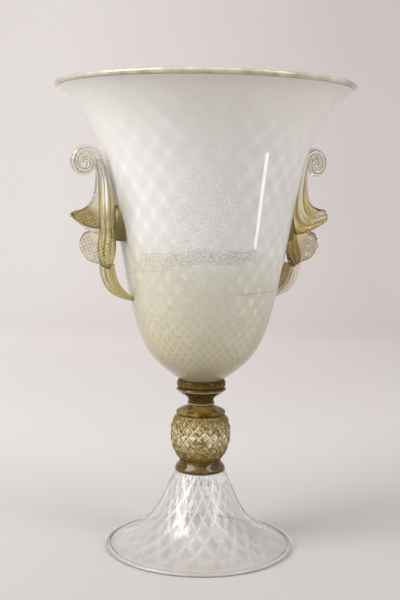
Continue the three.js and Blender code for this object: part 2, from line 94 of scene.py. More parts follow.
# Handles: reaches outwards from the bowl's wall at the grip, levels up or down from the grip
GRIP_RISE = 39.0
GRIP_REACH = 110.62
SCROLL_OUT = 45.4
SCROLL_UP = 84.0
SCROLL_OUTER = 26.0
SCROLL_PITCH = 13.6
SCROLL_TURNS = 1.5
SCROLL_LEAVING = 0.042
STRAP_DEPTH = 12.8
STRAP_TIP_DEPTH = 4.6
STRAP_WIDTH = 15.0
STALK_OUT = 7.4
STALK_FOOT_UP = 35.0
LEAF_OUT = 65.4
LEAF_UP = 20.0
LEAF_DROP = 4.0
LEAF_TIP_DEPTH = 4.6
LEAF_END_ROUNDING = 2.5
LEFT_LEAF_SWELLS = (0.6, 1.0)
RIGHT_LEAF_SWELLS = (5.4, 5.2)
LEFT_LEAF_WIDTH = 10.5
RIGHT_LEAF_WIDTH = 16.0
LEAF_EDGE_WIDTH = 5.0
LEAF_LEAN = 0.5
SHEATH_OUT = 5.8
SHEATH_DROP = 47.0
HUSK_ROOT_WIDTH = 14.0
LOWER_LEAF_OUT = 52.3
LOWER_LEAF_DROP = 18.0
LOWER_LEAF_TIP_DEPTH = 6.0
LOWER_LEAF_WIDTH = 13.0
TAIL_INSET = 18.0
TAIL_OUT = 17.9
TAIL_TOP_DEPTH = 20.0
TAIL_TOP_WIDTH = 11.0
TAIL_WIDTH = 15.0
TAIL_DROP = 86.5
TAIL_TIP_DEPTH = 4.5
TAIL_TIP_WIDTH = 8.0
RIGHT_TAIL_SPREAD = 10.0
WALL_BURIAL = 13.0
BRIDGE_HALF_WIDTH = 19.0
BRIDGE_UP = 33.0
BRIDGE_DROP = 12.0
BRIDGE_OUT = 10.4
BRIDGE_CORNER = 5.0
BRIDGE_EYE_UP = 8.0
BRIDGE_BURIAL = 2.0
RIB_DEPTH = 0.3
RIGHT_LIFT = 5.0
RIGHT_SQUEEZE = 0.82

# Shapes of the leaves' edges, as shares along and down
LEAF_TOP_SHAPE = [(-0.02, 0.343), (0.037, 0.62), (0.21, 0.81), (0.503, 0.92), (0.783, 0.958)]
RIGHT_LEAF_TOP_SHAPE = [(-0.02, 0.343), (0.037, 0.62), (0.21, 0.795), (0.503, 0.868), (0.783, 0.893)]
LEAF_UNDER_SHAPE = [(0.01, 0.625), (0.19, 0.0), (0.586, 0.19)]
STALK_BEND = (0.637, 0.487)
HUSK_TOP_SHAPE = [(0.505, 0.0), (0.634, 0.01), (0.74, 0.0), (0.848, 0.02), (0.93, 0.085), (0.985, 0.2)]
HUSK_UNDER_SHAPE = [(0.075, -0.13), (0.0, 0.21), (0.034, 0.68), (0.184, 1.0), (0.495, 0.87), (0.805, 0.735)]

# Optic diamonds blown into the glass
BOWL_DIAMONDS = 28
BOWL_ROW = 21.5
BOWL_ROW_GROWTH = 0.045
FOOT_DIAMONDS = 24
FOOT_ROW = 21.0
FOOT_ROW_GROWTH = 0.06
FOOT_RUN = 420.0
THREAD_ROW = 10.0
THREAD_CELLS = 60

# Steps round the wide turned pieces and the stem's rings
WIDE_STEPS = 240
RING_STEPS = 160

# Camera
CAMERA_AZIMUTH = radians(20.0)
CAMERA_DISTANCE = 1.3238
CAMERA_HEIGHT = 0.4652
CAMERA_PITCH = radians(6.04)
CAMERA_ROLL = radians(0.92)
FOCAL_PIXELS = 1025.8
IMAGE_HEIGHT = 600
PRINCIPAL_SHIFT = 2.6
SENSOR = 36.0


def bezier(start, leave, arrive, end, steps):
    points = []
    for step in range(steps + 1):
        t = step / steps
        s = 1 - t
        weights = (s ** 3, 3 * s * s * t, 3 * s * t * t, t ** 3)
        corners = (start, leave, arrive, end)
        points.append(tuple(sum(w * c[i] for w, c in zip(weights, corners)) for i in (0, 1)))
    return points


def smooth_through(points, steps=6):
    """A Catmull-Rom curve through the points of a profile."""
    result = []
    last = len(points) - 1
    for i in range(last):
        p0, p1, p2, p3 = (points[min(max(i + k, 0), last)] for k in (-1, 0, 1, 2))
        for step in range(steps):
            t = step / steps
            result.append(tuple(
                0.5 * (2 * p1[k] + (p2[k] - p0[k]) * t
                       + (2 * p0[k] - 5 * p1[k] + 4 * p2[k] - p3[k]) * t * t
                       + (3 * p1[k] - p0[k] - 3 * p2[k] + p3[k]) * t ** 3)
                for k in (0, 1)))
    result.append(points[-1])
    return result


def add_object(name, data):
    added = bpy.data.objects.new(name, data)
    bpy.context.scene.collection.objects.link(added)
    return added


def new_piece(name, vertices, faces, layers, sharp=50.0):
    """A smooth-shaded piece. Each layer holds a pair of surface coordinates for every corner."""
    name += "_glass"
    mesh = bpy.data.meshes.new(name)
    mesh.from_pydata([(x * MM, y * MM, z * MM) for x, y, z in vertices], [], faces)
    mesh.update()
    for layer_name, pairs in layers.items():
        layer = mesh.uv_layers.new(name=layer_name)
        for corner, pair in zip(layer.data, pairs):
            corner.uv = pair
    mesh.shade_smooth()
    mesh.set_sharp_from_angle(angle=radians(sharp))
    return add_object(name, mesh)


def skin(rows, count):
    """The faces that join rings of points into a closed skin with flat ends."""
    faces = []
    for row in range(rows - 1):
        low = row * count
        high = low + count
        for column in range(count):
            after = (column + 1) % count
            faces.append((low + column, low + after, high + after, high + column))
    faces.append(tuple(reversed(range(count))))
    faces.append(tuple(range((rows - 1) * count, rows * count)))
    return faces


def revolve(name, profile, segments, around, row_at, relief=None, sharp=32.0, plain_spans=0):
    """A profile of (radius, height) turned round +Z, from axis to axis or closed on itself.

    Its optic coordinates count the diamonds round it, and the rows of them at a length along
    the profile. The first plain spans lie midway between the lines of the lattice."""
    closed = profile[0] == profile[-1]
    points = profile[:-1] if closed else profile
    lengths = [0.0]
    for a, b in zip(profile, profile[1:]):
        lengths.append(lengths[-1] + dist(a, b))
    vertices = []
    rings = []
    for i, (radius, height) in enumerate(points):
        if radius < 1e-6:
            rings.append([len(vertices)])
            vertices.append((0.0, 0.0, height))
            continue
        ring = []
        for segment in range(segments):
            turn = segment / segments
            raised = radius + (relief(turn, lengths[i], i) if relief else 0.0)
            ring.append(len(vertices))
            vertices.append((raised * cos(tau * turn), raised * sin(tau * turn), height))
        rings.append(ring)
    faces = []
    uvs = []
    for i in range(len(profile) - 1):
        low = rings[i]
        high = rings[(i + 1) % len(rings)]
        plain = i < plain_spans
        v0, v1 = (0.0, 0.0) if plain else (row_at(lengths[i]), row_at(lengths[i + 1]))
        for segment in range(segments):
            after = (segment + 1) % segments
            u0, u1 = (0.5, 0.5) if plain else (around * step / segments for step in (segment, segment + 1))
            if len(low) == 1:
                faces.append((low[0], high[after], high[segment]))
                uvs += [((u0 + u1) / 2, v0), (u1, v1), (u0, v1)]
            elif len(high) == 1:
                faces.append((low[segment], low[after], high[0]))
                uvs += [(u0, v0), (u1, v0), ((u0 + u1) / 2, v1)]
            else:
                faces.append((low[segment], low[after], high[after], high[segment]))
                uvs += [(u0, v0), (u1, v0), (u1, v1), (u0, v1)]
    return new_piece(name, vertices, faces, {"optic": uvs}, sharp)


def offset(profile, wall):
    """The profile moved square to itself, to its left."""
    moved = []
    for i, point in enumerate(profile):
        before = profile[max(i - 1, 0)]
        after = profile[min(i + 1, len(profile) - 1)]
        along = Vector((after[0] - before[0], after[1] - before[1])).normalized()
        moved.append((point[0] - along.y * wall, point[1] + along.x * wall))
    return moved


def bowl_outside():
    seat = (BOWL_SEAT_RADIUS, BOWL_BASE)
    hip = (BOWL_HIP_RADIUS, BOWL_BASE + BOWL_HIP_RISE)
    lip = (BOWL_LIP_RADIUS, BOWL_TOP)
    belly = BOWL_HIP_RADIUS - BOWL_SEAT_RADIUS
    flare = BOWL_HEIGHT - BOWL_HIP_RISE
    under = bezier(
        seat,
        (seat[0] + belly * 0.605, seat[1] + BOWL_HIP_RISE * 0.212),
        (hip[0] - belly * 0.28, hip[1] - BOWL_HIP_RISE * 0.73),
        hip, 46)
    over = bezier(
        hip,
        (hip[0] + 16, hip[1] + flare * 0.343),
        (hip[0] + 17, hip[1] + flare * 0.794),
        lip, 60)
    return under + over[1:]


def stretched_rows(length):
    """The bowl's diamonds grow taller towards the lip."""
    return log(1 + BOWL_ROW_GROWTH * length / BOWL_ROW) / BOWL_ROW_GROWTH


def foot_rows(length):
    """The foot's diamonds grow taller towards its edge."""
    return log(1 + FOOT_ROW_GROWTH * (FOOT_RUN - length) / FOOT_ROW) / -FOOT_ROW_GROWTH


def make_bowl():
    outside = bowl_outside()
    floor_height = BOWL_BASE + BOWL_BOTTOM
    inside = [p for p in offset(outside, BOWL_WALL) if p[1] > floor_height + 6]
    profile = [(0.0, BOWL_BASE)] + outside + inside[::-1]
    profile += [(BOWL_SEAT_RADIUS - BOWL_WALL, floor_height + 1), (0.0, floor_height)]
    return revolve("bowl", profile, WIDE_STEPS, BOWL_DIAMONDS, stretched_rows)


def thread_rows(length):
    return length / THREAD_ROW


def make_lip_thread():
    outside = bowl_outside()
    along = (Vector(outside[-1]) - Vector(outside[-2])).normalized()
    middle = Vector(outside[-1]) + Vector((-along.y, along.x)) * (BOWL_WALL / 2)
    # The model's thread has eight sides; this round one lies a little inside it
    centre = middle + along * (LIP_THREAD_RADIUS * cos(pi / 8) + SEAM)
    reach = LIP_THREAD_RADIUS * cos(pi / 16)
    centre.x -= LIP_THREAD_INSET
    sides = 24
    ring = [(centre.x + reach * cos(-tau * side / sides), centre.y - reach * sin(-tau * side / sides))
            for side in range(sides)]
    ring.append(ring[0])
    return revolve("lip_thread", ring, WIDE_STEPS, THREAD_CELLS, thread_rows, sharp=60)


def make_foot():
    edge = FOOT_RIM_RADIUS - FOOT_RIM_WIDTH - SEAM
    spread = edge - FOOT_TOP_RADIUS
    drop = FOOT_HEIGHT - FOOT_EDGE_HEIGHT
    outside = bezier(
        (FOOT_TOP_RADIUS, FOOT_HEIGHT),
        (FOOT_TOP_RADIUS + spread * 0.283, FOOT_HEIGHT - drop * 0.483),
        (FOOT_TOP_RADIUS + spread * 0.262, FOOT_HEIGHT - drop * 0.713),
        (edge, FOOT_EDGE_HEIGHT), 60)
    underside = FOOT_EDGE_HEIGHT - 2.4
    crown = FOOT_HEIGHT - FOOT_CROWN
    hollow = [p for p in offset(outside, -FOOT_WALL) if underside + 2 < p[1] < crown]
    top = hollow[0][0]
    profile = [(0.0, crown), (top * 0.3, crown - 0.4), (top * 0.7, crown - 1.6)]
    profile += hollow + [(edge - FOOT_WALL, underside), (edge, underside)]
    plain_spans = len(profile)
    profile += outside[::-1] + [(0.0, FOOT_HEIGHT)]
    return revolve("foot", profile, WIDE_STEPS, FOOT_DIAMONDS, foot_rows, plain_spans=plain_spans)


def make_foot_rim():
    inner = FOOT_RIM_RADIUS - FOOT_RIM_WIDTH
    half = FOOT_RIM_THICKNESS / 2
    fold = FOOT_RIM_RADIUS - half
    profile = [(inner + 0.8, 0.05), (inner + 2.2, 0.0), (fold, 0.0)]
    for step in range(1, 9):
        angle = -pi / 2 + pi * step / 9
        profile.append((fold + half * cos(angle), half + half * sin(angle)))
    profile += [(fold, 2 * half), (inner + 2.4, 2 * half - 0.3), (inner + 0.7, 2 * half - 1.0),
                (inner, 2 * half - 2.0), (inner, 1.0), profile[0]]
    return revolve("foot_rim", profile, WIDE_STEPS, THREAD_CELLS, thread_rows, sharp=50)


# The stem's rings: node, base, height, and radii at shares of the height
COLLARS = [
    ("foot_collar", FOOT_COLLAR_BASE, FOOT_COLLAR_HEIGHT, [
        (FOOT_COLLAR_RADIUS * 0.91, 0), (FOOT_COLLAR_RADIUS - 0.4, 0.08), (FOOT_COLLAR_RADIUS, 0.2),
        (FOOT_COLLAR_RADIUS * 0.973, 0.4), (FOOT_COLLAR_TOP_RADIUS * 1.043, 0.75),
        (FOOT_COLLAR_TOP_RADIUS, 1)]),
    ("knop_shoulder", SHOULDER_BASE, SHOULDER_HEIGHT, [
        (SHOULDER_RADIUS * 0.93, 0), (SHOULDER_RADIUS * 0.985, 0.1), (SHOULDER_RADIUS, 0.22),
        (SHOULDER_RADIUS * 0.985, 0.34), (SHOULDER_RADIUS * 0.925, 0.46), (WAIST_RADIUS * 1.5, 0.65),
        (WAIST_RADIUS * 1.2, 0.8), (WAIST_RADIUS * 1.04, 0.92), (WAIST_RADIUS, 1)]),
    ("waist_ring", WAIST_BASE, WAIST_HEIGHT, [
        (WAIST_RADIUS, 0), (WAIST_RADIUS + WAIST_SWELL, 0.14), (WAIST_RADIUS + WAIST_SWELL, 0.36),
        (WAIST_RADIUS * 0.98, 0.5), (WAIST_RADIUS + WAIST_SWELL * 0.7, 0.66),
        (WAIST_RADIUS + WAIST_SWELL * 0.7, 0.86), (WAIST_RADIUS * 0.99, 1)]),
    ("stem_neck", NECK_BASE, NECK_HEIGHT, [
        (WAIST_RADIUS, 0), (WAIST_RADIUS * 1.01, 0.12), (WAIST_RADIUS * 1.06, 0.3),
        (WAIST_RADIUS * 1.26, 0.53), (WAIST_RADIUS * 1.55, 0.77), (NECK_TOP_RADIUS * 0.965, 0.93),
        (NECK_TOP_RADIUS, 1)]),
    ("merese_disc", DISC_BASE, DISC_HEIGHT, [
        (NECK_TOP_RADIUS * 1.014, 0), (DISC_RADIUS * 0.99, 0.34), (DISC_RADIUS, 0.55),
        (DISC_RADIUS * 0.97, 0.85), (DISC_RADIUS * 0.926, 1)]),
    ("bowl_collar", BOWL_COLLAR_BASE, BOWL_COLLAR_HEIGHT, [
        (BOWL_COLLAR_RADIUS * 0.93, 0), (BOWL_COLLAR_RADIUS - 0.4, 0.16), (BOWL_COLLAR_RADIUS, 0.45),
        (BOWL_COLLAR_RADIUS * 0.978, 0.8), (BOWL_SEAT_RADIUS * 1.02, 1)]),
]


def make_collar(node, base, height, stations):
    side = [(radius, base + height * share) for radius, share in stations]
    profile = [(0.0, base)] + smooth_through(side) + [(0.0, base + height)]
    return revolve(node, profile, RING_STEPS, 24, thread_rows, sharp=40.0)


def to_groove(position):
    share = position - floor(position)
    return min(share, 1 - share)


def make_knop():
    below = KNOP_HEIGHT * KNOP_BELLY_SHARE
    belly = KNOP_BASE + below
    bottom_angle = acos(KNOP_BOTTOM_RADIUS / KNOP_RADIUS)
    top_angle = acos(KNOP_TOP_RADIUS / KNOP_RADIUS)
    low_stretch = below / sin(bottom_angle)
    high_stretch = (KNOP_HEIGHT - below) / sin(top_angle)
    steps_per_boss = 16
    rows = round(BOSS_ROWS * steps_per_boss)
    columns = BOSSES_AROUND * steps_per_boss
    profile = [(0.0, KNOP_BASE)]
    for row in range(rows + 1):
        latitude = mix(-bottom_angle, top_angle, row / rows)
        stretch = low_stretch if latitude < 0 else high_stretch
        profile.append((KNOP_RADIUS * cos(latitude), belly + stretch * sin(latitude)))
    profile.append((0.0, KNOP_BASE + KNOP_HEIGHT))
    side_length = sum(dist(a, b) for a, b in zip(profile[1:-1], profile[2:-1]))

    def boss_rows(length):
        return (length - KNOP_BOTTOM_RADIUS) / (side_length / BOSS_ROWS)

    def relief(turn, _, i):
        up = (i - 1) / steps_per_boss
        around = turn * BOSSES_AROUND
        nearest = min(to_groove(around + up), to_groove(around - up))
        fade = min(1.0, (i - 1) / steps_per_boss * 4, (rows + 1 - i) / steps_per_boss * 4)
        latitude = mix(-bottom_angle, top_angle, (i - 1) / rows)
        return BOSS_RELIEF * (2 * nearest) ** 0.8 * max(fade, 0.0) * cos(latitude)

    return revolve("knop", profile, columns, BOSSES_AROUND, boss_rows, relief, sharp=75)


def mix(a, b, share):
    return a + (b - a) * share


def smoothstep(x, low, high):
    t = min(max((x - low) / (high - low), 0.0), 1.0)
    return t * t * (3 - 2 * t)


def half_thickness(station, width, lean, ribs=RIB_DEPTH):
    """Half a strap's thickness: an ellipse that leans to its inner edge, with two grooves."""
    rounded = sqrt(max(0.0, 1 - station * station)) * (1 + lean * station) / (1 + 0.27 * lean)
    groove = max(0.0, 1 - abs(abs(station) - 0.33) / 0.2) ** 1.5
    return 0.5 * width * rounded * (1 - ribs * groove)


def turned(reach, across, height, turn):
    return reach * cos(turn) - across * sin(turn), reach * sin(turn) + across * cos(turn), height


def strap(name, sections, turn, ribs=RIB_DEPTH, half_points=28):
    """A ribbed strap lofted through sections of (outer point, inner point, width, lean).

    Its optic coordinates are millimetres along it and millimetres behind its middle; its run
    coordinates are the share along it and the station across it."""
    stations = [-cos(pi * i / half_points) for i in range(half_points + 1)]
    loop = [(q, 1) for q in stations] + [(q, -1) for q in reversed(stations[1:-1])]
    vertices = []
    optic = []
    run = []
    length = 0.0
    previous = None
    for index, (outer, inner, width, lean) in enumerate(sections):
        middle = ((outer[0] + inner[0]) / 2, (outer[1] + inner[1]) / 2)
        half = ((inner[0] - outer[0]) / 2, (inner[1] - outer[1]) / 2)
        if previous:
            length += dist(middle, previous)
        previous = middle
        for station, side in loop:
            thick = side * half_thickness(station, width, lean, ribs)
            vertices.append(turned(middle[0] + half[0] * station, thick, middle[1] + half[1] * station, turn))
            optic.append((length, thick * cos(turn)))
            run.append((index / (len(sections) - 1), station))
    faces = [face[::-1] for face in skin(len(sections), len(loop))]
    corners = [vertex for face in faces for vertex in face]
    return new_piece(name, vertices, faces, {"optic": [optic[vertex] for vertex in corners],
                                             "run": [run[vertex] for vertex in corners]})


def from_grip(out, up):
    return GRIP_REACH + out, BOWL_BASE + BOWL_HIP_RISE + GRIP_RISE + up


def part_way(start, end, shares):
    return tuple(map(mix, start, end, shares))


def spaced(points, steps):
    """A number of even steps along the Catmull-Rom curve through the points."""
    fine = smooth_through(points, 24)
    last = len(fine) - 1
    return [fine[round(last * i / steps)] for i in range(steps + 1)]


def between(outer, inner, width_at, lean_at):
    steps = len(outer) - 1
    return [(a, b, width_at(i / steps), lean_at(i / steps)) for i, (a, b) in enumerate(zip(outer, inner))]


def on_spiral(angle, radius, lift, squeeze):
    eye = from_grip(SCROLL_OUT, SCROLL_UP + lift)
    return eye[0] - squeeze * radius * cos(angle), eye[1] + radius * sin(angle)


def scroll_sections(lift, squeeze):
    sections = []
    steps = 110
    for step in range(steps + 1):
        turns = mix(SCROLL_TURNS, SCROLL_LEAVING, step / steps)
        radius = SCROLL_OUTER - SCROLL_PITCH * turns
        thinning = smoothstep(turns / SCROLL_TURNS, 0.55, 1)
        depth = mix(STRAP_DEPTH, STRAP_TIP_DEPTH, thinning)
        edges = (on_spiral(tau * turns, reach, lift, squeeze) for reach in (radius - depth, radius))
        sections.append((*edges, STRAP_WIDTH * mix(1, 0.7, thinning), 0.0))
    return sections


def make_scroll(side, turn, lift, squeeze, swells, leaf_width):
    scroll = scroll_sections(lift, squeeze)
    outer, inner = scroll.pop()[:2]
    tip_top = from_grip(LEAF_OUT, LEAF_UP + LEAF_TIP_DEPTH / 2)
    tip_under = from_grip(LEAF_OUT, LEAF_UP - LEAF_TIP_DEPTH / 2)
    end_out = LEAF_OUT - LEAF_END_ROUNDING
    stalk_foot = from_grip(STALK_OUT, STALK_FOOT_UP)
    top_shape = LEAF_TOP_SHAPE if side == "left" else RIGHT_LEAF_TOP_SHAPE
    top_edge = [outer] + [part_way(outer, tip_top, share) for share in top_shape]
    top_edge += [from_grip(end_out, LEAF_UP + LEAF_TIP_DEPTH / 2 + swells[0]), tip_top]
    under_edge = [inner, part_way(inner, stalk_foot, STALK_BEND), stalk_foot]
    for along, up in LEAF_UNDER_SHAPE:
        under_edge.append(from_grip(mix(STALK_OUT, LEAF_OUT, along), mix(-LEAF_DROP, LEAF_UP, up)))
    under_edge += [from_grip(end_out, LEAF_UP - LEAF_TIP_DEPTH / 2 - swells[1]), tip_under]

    def width_at(share):
        root = mix(STRAP_WIDTH, leaf_width, min(share * 2, 1))
        return mix(root, LEAF_EDGE_WIDTH, smoothstep(share, 0.5, 1))

    def lean_at(share):
        return LEAF_LEAN * smoothstep(share, 0.3, 0.7)

    steps = 84
    stalk = between(spaced(top_edge, steps), spaced(under_edge, steps), width_at, lean_at)
    return strap(side + "_scroll", scroll + stalk, turn)


def make_column(side, turn, outer_edge, inner_edge, widths):
    """The ribbed column that runs from the stalk down in front of the leaves."""
    steps = 72
    outer, inner = (spaced([from_grip(*point) for point in edge], steps) for edge in (outer_edge, inner_edge))
    widening = spaced([(width, 0.0) for width in widths], steps)
    sections = [(a, b, width, 0.0) for a, b, (width, _) in zip(outer, inner, widening)]
    return strap(side + "_column", sections, turn)


def on_husk(shares):
    return from_grip(mix(SHEATH_OUT, LOWER_LEAF_OUT, shares[0]), -SHEATH_DROP * shares[1])


def make_husk(side, turn, leaf_width):
    tip_top = from_grip(LOWER_LEAF_OUT, LOWER_LEAF_TIP_DEPTH / 2 - LOWER_LEAF_DROP)
    tip_under = from_grip(LOWER_LEAF_OUT, -LOWER_LEAF_TIP_DEPTH / 2 - LOWER_LEAF_DROP)
    top_edge = [on_husk(share) for share in HUSK_TOP_SHAPE] + [tip_top]
    under_edge = [on_husk(share) for share in HUSK_UNDER_SHAPE] + [tip_under]

    def width_at(share):
        body = mix(HUSK_ROOT_WIDTH * 0.8, leaf_width, smoothstep(share, 0, 0.3))
        return mix(body, LEAF_EDGE_WIDTH, smoothstep(share, 0.5, 1))

    steps = 72
    sections = between(spaced(top_edge, steps), spaced(under_edge, steps), width_at,
                       lambda share: mix(0.3, 0.6, share))
    return strap(side + "_husk", sections, turn, ribs=0.06)


def make_tail(side, turn, spread):
    drop = TAIL_DROP - SHEATH_DROP + TAIL_INSET
    top = from_grip(TAIL_OUT, TAIL_INSET - SHEATH_DROP)
    end = (BOWL_HIP_RADIUS - WALL_BURIAL, top[1] - drop)
    run = top[0] - end[0]
    steps = 48
    outer = bezier(
        (top[0] + TAIL_TOP_DEPTH / 2, top[1]),
        (top[0] + TAIL_TOP_DEPTH / 2, top[1] - drop * 0.7),
        (top[0] - run * 0.08, end[1] + drop * 0.035),
        (end[0], end[1] - TAIL_TIP_DEPTH / 2), steps)
    inner = bezier(
        (top[0] - TAIL_TOP_DEPTH / 2, top[1]),
        (top[0] - TAIL_TOP_DEPTH * 0.45 - spread, top[1] - drop * 0.56),
        (top[0] - TAIL_TOP_DEPTH / 2 - run * 0.24 - spread * 0.8, end[1] + drop * 0.2),
        (end[0], end[1] + TAIL_TIP_DEPTH / 2), steps)

    def width_at(share):
        body = mix(TAIL_TOP_WIDTH, TAIL_WIDTH, smoothstep(share, 0, 0.4))
        return mix(body, TAIL_TIP_WIDTH, share * share)

    hidden = 6
    sections = between(outer, inner, width_at, lambda share: 0.0)[hidden:]
    return strap(side + "_tail", sections, turn)


def wall_reach(height):
    points = bowl_outside()
    for low, high in zip(points, points[1:]):
        if high[1] >= height:
            return mix(low[0], high[0], (height - low[1]) / (high[1] - low[1]))
    return points[-1][0]


def make_bridge(side, turn):
    """A rounded pad on the bowl's wall: its outline drawn in over a soft shoulder."""
    grip = BOWL_BASE + BOWL_HIP_RISE + GRIP_RISE
    outline = [(BRIDGE_HALF_WIDTH * cos(pi * step / 32), BRIDGE_UP * sin(pi * step / 32)) for step in range(33)]
    for corner, start in ((-1, pi), (1, 1.5 * pi)):
        for step in range(9):
            angle = start + pi / 2 * step / 8
            outline.append((corner * (BRIDGE_HALF_WIDTH - BRIDGE_CORNER) + BRIDGE_CORNER * cos(angle),
                            BRIDGE_CORNER - BRIDGE_DROP + BRIDGE_CORNER * sin(angle)))
    face = GRIP_REACH + BRIDGE_OUT
    shoulder = [(0.0, None), (0.0, 6.0), (0.3, 4.2), (1.1, 2.4), (2.4, 1.0), (4.2, 0.25), (6.4, 0.0)]
    vertices = []
    for inset, below in shoulder:
        for across, up in outline:
            across_in = across * (1 - inset / BRIDGE_HALF_WIDTH)
            up_in = BRIDGE_EYE_UP + (up - BRIDGE_EYE_UP) * (1 - inset / (BRIDGE_UP * 0.7))
            if below is None:
                reach = sqrt(wall_reach(grip + up_in) ** 2 - across_in ** 2) - BRIDGE_BURIAL
            else:
                reach = face - below
            vertices.append(turned(reach, across_in, grip + up_in, turn))
    return new_piece(side + "_bridge", vertices, skin(len(shoulder), len(outline)), {})


# Materials

class Value:
    """What a node gives. Arithmetic with it adds further nodes."""

    def __init__(self, nodes, socket):
        self.nodes = nodes
        self.socket = socket

    def __add__(self, other):
        return self.nodes.math("ADD", self, other)

    def __sub__(self, other):
        return self.nodes.math("SUBTRACT", self, other)

    def __rsub__(self, other):
        return self.nodes.math("SUBTRACT", other, self)

    def __mul__(self, other):
        return self.nodes.math("MULTIPLY", self, other)

    def __abs__(self):
        return self.nodes.math("ABSOLUTE", self)

    def fold(self, half):
        """Runs up and down between 0 and the half spacing."""
        return self.nodes.math("PINGPONG", self, half)

    def ramp(self, low, high, start=0, end=1, smooth=False):
        """From start to end while this value goes from low to high."""
        return self.nodes.value(0, "ShaderNodeMapRange", {
            "Value": self, "From Min": low, "From Max": high, "To Min": start, "To Max": end,
        }, clamp=True, interpolation_type="SMOOTHSTEP" if smooth else "LINEAR")

    def fall(self, low, high):
        return self.ramp(low, high, 1, 0)

    def paint(self, share, colour):
        """This colour with a share of another laid over it."""
        return self.nodes.blend(share, self, colour)


class Nodes:
    """The nodes of one material. A value given to one is a number, a colour or another's output."""

    def __init__(self, name):
        self.material = bpy.data.materials.new(name)
        self.material.use_nodes = True
        self.shader = self.material.node_tree.nodes["Principled BSDF"]

    def feed(self, socket, value):
        value = getattr(value, "socket", value)
        if isinstance(value, bpy.types.NodeSocket):
            self.material.node_tree.links.new(value, socket)
        else:
            socket.default_value = (*value, 1) if socket.type == "RGBA" else value

    def add(self, kind, values=None, **settings):
        node = self.material.node_tree.nodes.new(kind)
        for key, setting in settings.items():
            setattr(node, key, setting)
        for key, value in (values or {}).items():
            self.feed(node.inputs[key], value)
        return node

    def value(self, output, kind, values=None, **settings):
        return Value(self, self.add(kind, values, **settings).outputs[output])

    def set(self, **values):
        for key, value in values.items():
            self.feed(self.shader.inputs[key.replace("_", " ")], value)

    def math(self, operation, *values, clamp=False):
        return self.value(0, "ShaderNodeMath", dict(enumerate(values)), operation=operation, use_clamp=clamp)

    def blend(self, share, first, second):
        return self.value(2, "ShaderNodeMix", {0: share, 6: first, 7: second}, data_type="RGBA")

    def place(self):
        return self.value("Object", "ShaderNodeTexCoord")

    def noise(self, scale, detail=3, squash=1):
        """Noise in the object's own space, flattened by the squash."""
        place = self.value(0, "ShaderNodeVectorMath", {0: self.place(), 1: (1, 1, squash)},
                           operation="MULTIPLY")
        return self.value("Fac", "ShaderNodeTexNoise", {
            "Vector": place, "Scale": scale, "Detail": detail, "Roughness": 0.55})

    def cells(self, scale):
        return self.value("Distance", "ShaderNodeTexVoronoi", {"Vector": self.place(), "Scale": scale})

    def split(self, vector):
        return [Value(self, part) for part in self.add("ShaderNodeSeparateXYZ", {0: vector}).outputs]

    def position(self):
        return self.split(self.place())

    def surface(self, layer):
        """The two coordinates of a surface layer."""
        return self.split(self.value(0, "ShaderNodeUVMap", uv_map=layer))[:2]

    def diagonals(self, wander=0, finer=(1, 1)):
        """How far a point lies from the lattice's two families of lines, 0 on a line to 0.5."""
        around, along = self.surface("optic")
        if wander:
            along = along + (self.noise(16, 2) - 0.5) * wander
        around, along = around * finer[0], along * finer[1]
        return (around + along).fold(0.5), (around - along).fold(0.5)

    def optic(self):
        """0 on the lines of the diamond lattice, 0.5 at the middle of a diamond."""
        return self.math("MINIMUM", *self.diagonals())

    def grazing(self, blend):
        return self.value("Facing", "ShaderNodeLayerWeight", {"Blend": blend})

    def bump(self, height, strength, distance, socket="Normal"):
        bump = self.value(0, "ShaderNodeBump", {"Height": height, "Strength": strength, "Distance": distance})
        self.feed(self.shader.inputs[socket], bump)

    def glass(self, colour, relief, strength, distance, **values):
        """The finished material, with its colour, its bump and the shader's other values."""
        self.set(Base_Color=colour, **values)
        self.bump(relief, strength, distance)
        return self.material


# The direction across the picture in x and y, and levels of the bowl's belt and hair line, in metres
PICTURE_ACROSS = (0.94, -0.342)
BELT_LEVELS = (0.3765, 0.3985)
HAIR_LINE_LEVEL = 0.3386
# Half the spacing of the waffle's threads and of the beads, in metres
HALF_THREAD = 0.002


